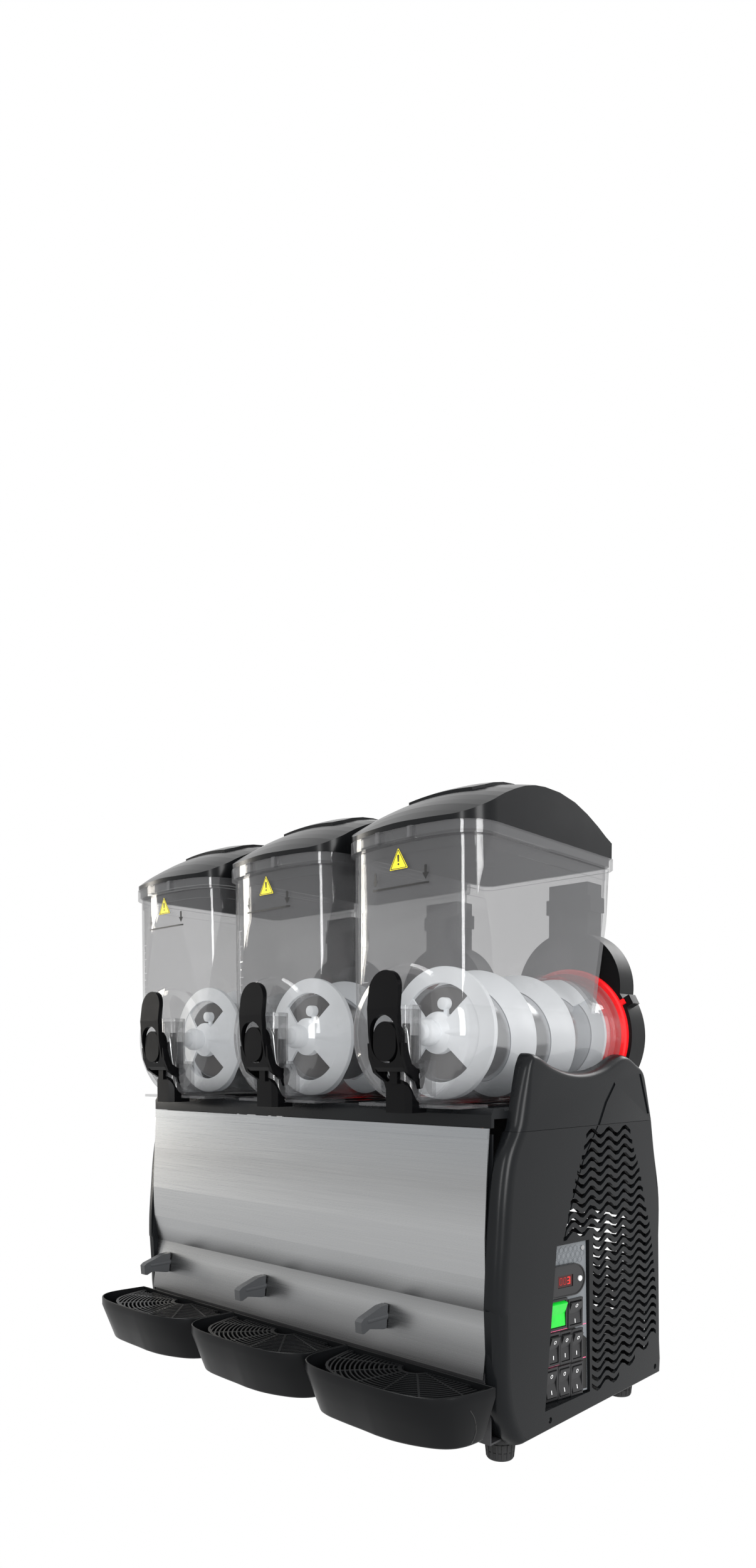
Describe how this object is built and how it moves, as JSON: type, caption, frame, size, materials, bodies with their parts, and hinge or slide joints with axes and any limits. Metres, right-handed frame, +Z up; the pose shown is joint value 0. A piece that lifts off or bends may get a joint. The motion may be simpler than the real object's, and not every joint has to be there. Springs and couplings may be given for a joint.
{
  "type": "slush machine",
  "caption": "Slush machine with clear bowls, white augers, black lever taps, domed lids and drip trays on a black wavy-vented body with a steel front and side controls.",
  "frame": {"origin": "centre of the overall footprint, at the underside of the feet", "axes": "+X to the right seen from the front, +Y to the rear, +Z up; the taps face -Y"},
  "size_m": [0.6002, 0.428, 0.6993],
  "materials": {
    "sheet_steel": "satin",
    "black_panel": "matte",
    "steel": "brushed",
    "dark_sheet": "matte",
    "rubber": "matte",
    "grey_plastic": "satin",
    "control_face": "satin",
    "controller": "satin",
    "switch_black": "satin",
    "green": "lit",
    "button": "satin",
    "compressor_black": "gloss",
    "aluminium": "satin",
    "motor_grey": "painted",
    "copper": "drawn",
    "screw_steel": "satin",
    "drum_steel": "brushed",
    "red_rubber": "satin",
    "housing_black": "matte",
    "clear": "clear",
    "lid_black": "fine texture",
    "auger_white": "translucent",
    "tap_black": "satin",
    "piston_grey": "satin",
    "tray_black": "fine texture"
  },
  "bodies": {
    "cabinet": {"base_plate": "sheet_steel", "left_side_panel": "black_panel", "right_side_panel": "black_panel", "top_deck": "black_panel", "front_panel": "steel", "rear_panel": "dark_sheet", "feet": "rubber", "condensate_spouts": "grey_plastic", "control_plate": "control_face", "control_box": "sheet_steel", "temperature_controller": "controller", "switch_frames": "switch_black", "power_inlet": "switch_black", "compressor": "compressor_black", "condenser": "aluminium", "fan_motor": "motor_grey", "refrigerant_lines": "copper", "screws": "screw_steel", "evaporator_drums": "drum_steel", "bowl_gaskets": "red_rubber", "rear_housings": "housing_black", "gearmotors": "motor_grey"},
    "bowl_left_body": {"bowl_left": "clear", "tap_nozzle_left": "tap_black"},
    "lid_left_body": {"lid_left": "lid_black"},
    "auger_left_body": {"auger_left": "auger_white", "drive_shaft_left": "drum_steel"},
    "tap_handle_left_body": {"tap_handle_left": "tap_black"},
    "tap_piston_left_body": {"tap_piston_left": "piston_grey"},
    "drip_tray_left_body": {"drip_tray_left": "tray_black"},
    "drip_grid_left_body": {"drip_grid_left": "tray_black"},
    "bowl_middle_body": {"bowl_middle": "clear", "tap_nozzle_middle": "tap_black"},
    "lid_middle_body": {"lid_middle": "lid_black"},
    "auger_middle_body": {"auger_middle": "auger_white", "drive_shaft_middle": "drum_steel"},
    "tap_handle_middle_body": {"tap_handle_middle": "tap_black"},
    "tap_piston_middle_body": {"tap_piston_middle": "piston_grey"},
    "drip_tray_middle_body": {"drip_tray_middle": "tray_black"},
    "drip_grid_middle_body": {"drip_grid_middle": "tray_black"},
    "bowl_right_body": {"bowl_right": "clear", "tap_nozzle_right": "tap_black"},
    "lid_right_body": {"lid_right": "lid_black"},
    "auger_right_body": {"auger_right": "auger_white", "drive_shaft_right": "drum_steel"},
    "tap_handle_right_body": {"tap_handle_right": "tap_black"},
    "tap_piston_right_body": {"tap_piston_right": "piston_grey"},
    "drip_tray_right_body": {"drip_tray_right": "tray_black"},
    "drip_grid_right_body": {"drip_grid_right": "tray_black"},
    "main_switch_body": {"main_switch": "green"},
    "light_switch_body": {"light_switch": "switch_black"},
    "mixer_switch_left_body": {"mixer_switch_left": "switch_black"},
    "mixer_switch_middle_body": {"mixer_switch_middle": "switch_black"},
    "mixer_switch_right_body": {"mixer_switch_right": "switch_black"},
    "mode_switch_left_body": {"mode_switch_left": "switch_black"},
    "mode_switch_middle_body": {"mode_switch_middle": "switch_black"},
    "mode_switch_right_body": {"mode_switch_right": "switch_black"},
    "set_button_body": {"set_button": "button"},
    "down_button_body": {"down_button": "button"},
    "fan_body": {"fan_blades": "aluminium"}
  },
  "joints": [
    {"name": "bowl_left_pull", "type": "slide", "parent": "cabinet", "child": "bowl_left_body", "axis": [0, -1, 0], "range_m": [0, 0.3]},
    {"name": "lid_left_lift", "type": "slide", "parent": "bowl_left_body", "child": "lid_left_body", "axis": [0, 0, 1], "range_m": [0, 0.08]},
    {"name": "auger_left_turn", "type": "hinge", "parent": "cabinet", "child": "auger_left_body", "pos_m": [-0.2, -0.162, 0.436], "axis": [0, 1, 0], "continuous": true},
    {"name": "tap_left_lever", "type": "hinge", "parent": "bowl_left_body", "child": "tap_handle_left_body", "pos_m": [-0.2, -0.156, 0.392], "axis": [1, 0, 0], "range_deg": [0, 45], "stiffness_Nm_per_rad": 0.12, "springref_deg": -20.05},
    {"name": "tap_left_piston", "type": "slide", "parent": "bowl_left_body", "child": "tap_piston_left_body", "axis": [0, 0, 1], "range_m": [0, 0.0121]},
    {"name": "drip_tray_left_pull", "type": "slide", "parent": "cabinet", "child": "drip_tray_left_body", "axis": [0, -1, 0], "range_m": [0, 0.09]},
    {"name": "drip_grid_left_lift", "type": "slide", "parent": "drip_tray_left_body", "child": "drip_grid_left_body", "axis": [0, 0, 1], "range_m": [0, 0.028]},
    {"name": "bowl_middle_pull", "type": "slide", "parent": "cabinet", "child": "bowl_middle_body", "axis": [0, -1, 0], "range_m": [0, 0.3]},
    {"name": "lid_middle_lift", "type": "slide", "parent": "bowl_middle_body", "child": "lid_middle_body", "axis": [0, 0, 1], "range_m": [0, 0.08]},
    {"name": "auger_middle_turn", "type": "hinge", "parent": "cabinet", "child": "auger_middle_body", "pos_m": [0, -0.162, 0.436], "axis": [0, 1, 0], "continuous": true},
    {"name": "tap_middle_lever", "type": "hinge", "parent": "bowl_middle_body", "child": "tap_handle_middle_body", "pos_m": [0, -0.156, 0.392], "axis": [1, 0, 0], "range_deg": [0, 45], "stiffness_Nm_per_rad": 0.12, "springref_deg": -20.05},
    {"name": "tap_middle_piston", "type": "slide", "parent": "bowl_middle_body", "child": "tap_piston_middle_body", "axis": [0, 0, 1], "range_m": [0, 0.0121]},
    {"name": "drip_tray_middle_pull", "type": "slide", "parent": "cabinet", "child": "drip_tray_middle_body", "axis": [0, -1, 0], "range_m": [0, 0.09]},
    {"name": "drip_grid_middle_lift", "type": "slide", "parent": "drip_tray_middle_body", "child": "drip_grid_middle_body", "axis": [0, 0, 1], "range_m": [0, 0.028]},
    {"name": "bowl_right_pull", "type": "slide", "parent": "cabinet", "child": "bowl_right_body", "axis": [0, -1, 0], "range_m": [0, 0.3]},
    {"name": "lid_right_lift", "type": "slide", "parent": "bowl_right_body", "child": "lid_right_body", "axis": [0, 0, 1], "range_m": [0, 0.08]},
    {"name": "auger_right_turn", "type": "hinge", "parent": "cabinet", "child": "auger_right_body", "pos_m": [0.2, -0.162, 0.436], "axis": [0, 1, 0], "continuous": true},
    {"name": "tap_right_lever", "type": "hinge", "parent": "bowl_right_body", "child": "tap_handle_right_body", "pos_m": [0.2, -0.156, 0.392], "axis": [1, 0, 0], "range_deg": [0, 45], "stiffness_Nm_per_rad": 0.12, "springref_deg": -20.05},
    {"name": "tap_right_piston", "type": "slide", "parent": "bowl_right_body", "child": "tap_piston_right_body", "axis": [0, 0, 1], "range_m": [0, 0.0121]},
    {"name": "drip_tray_right_pull", "type": "slide", "parent": "cabinet", "child": "drip_tray_right_body", "axis": [0, -1, 0], "range_m": [0, 0.09]},
    {"name": "drip_grid_right_lift", "type": "slide", "parent": "drip_tray_right_body", "child": "drip_grid_right_body", "axis": [0, 0, 1], "range_m": [0, 0.028]},
    {"name": "main_switch_rock", "type": "hinge", "parent": "cabinet", "child": "main_switch_body", "pos_m": [0.28605, -0.01202, 0.138], "axis": [0.1736, 0.9848, 0], "range_deg": [-16, 0]},
    {"name": "light_switch_rock", "type": "hinge", "parent": "cabinet", "child": "light_switch_body", "pos_m": [0.29128, 0.01762, 0.136], "axis": [0.1736, 0.9848, 0], "range_deg": [-16, 0]},
    {"name": "mixer_switch_left_rock", "type": "hinge", "parent": "cabinet", "child": "mixer_switch_left_body", "pos_m": [0.28548, -0.01527, 0.1016], "axis": [0.1736, 0.9848, 0], "range_deg": [-16, 0]},
    {"name": "mixer_switch_middle_rock", "type": "hinge", "parent": "cabinet", "child": "mixer_switch_middle_body", "pos_m": [0.28866, 0.00275, 0.101], "axis": [0.1736, 0.9848, 0], "range_deg": [-16, 0]},
    {"name": "mixer_switch_right_rock", "type": "hinge", "parent": "cabinet", "child": "mixer_switch_right_body", "pos_m": [0.29184, 0.02077, 0.1004], "axis": [0.1736, 0.9848, 0], "range_deg": [-16, 0]},
    {"name": "mode_switch_left_rock", "type": "hinge", "parent": "cabinet", "child": "mode_switch_left_body", "pos_m": [0.28482, -0.01902, 0.0648], "axis": [0.1736, 0.9848, 0], "range_deg": [-8, 8]},
    {"name": "mode_switch_middle_rock", "type": "hinge", "parent": "cabinet", "child": "mode_switch_middle_body", "pos_m": [0.28833, 0.00088, 0.064], "axis": [0.1736, 0.9848, 0], "range_deg": [-8, 8]},
    {"name": "mode_switch_right_rock", "type": "hinge", "parent": "cabinet", "child": "mode_switch_right_body", "pos_m": [0.29184, 0.02077, 0.0632], "axis": [0.1736, 0.9848, 0], "range_deg": [-8, 8]},
    {"name": "set_button_press", "type": "slide", "parent": "cabinet", "child": "set_button_body", "axis": [-0.9848, 0.1736, 0], "range_m": [0, 0.0012], "stiffness_N_per_m": 120, "springref_m": -0.001},
    {"name": "down_button_press", "type": "slide", "parent": "cabinet", "child": "down_button_body", "axis": [-0.9848, 0.1736, 0], "range_m": [0, 0.0012], "stiffness_N_per_m": 120, "springref_m": -0.001},
    {"name": "fan_turn", "type": "hinge", "parent": "cabinet", "child": "fan_body", "pos_m": [-0.196, 0.053, 0.18], "axis": [1, 0, 0], "continuous": true}
  ],
  "couplings": [
    {"joint": "tap_left_piston", "follows": "tap_left_lever", "m_per_rad": 0.01528},
    {"joint": "tap_middle_piston", "follows": "tap_middle_lever", "m_per_rad": 0.01528},
    {"joint": "tap_right_piston", "follows": "tap_right_lever", "m_per_rad": 0.01528}
  ]
}
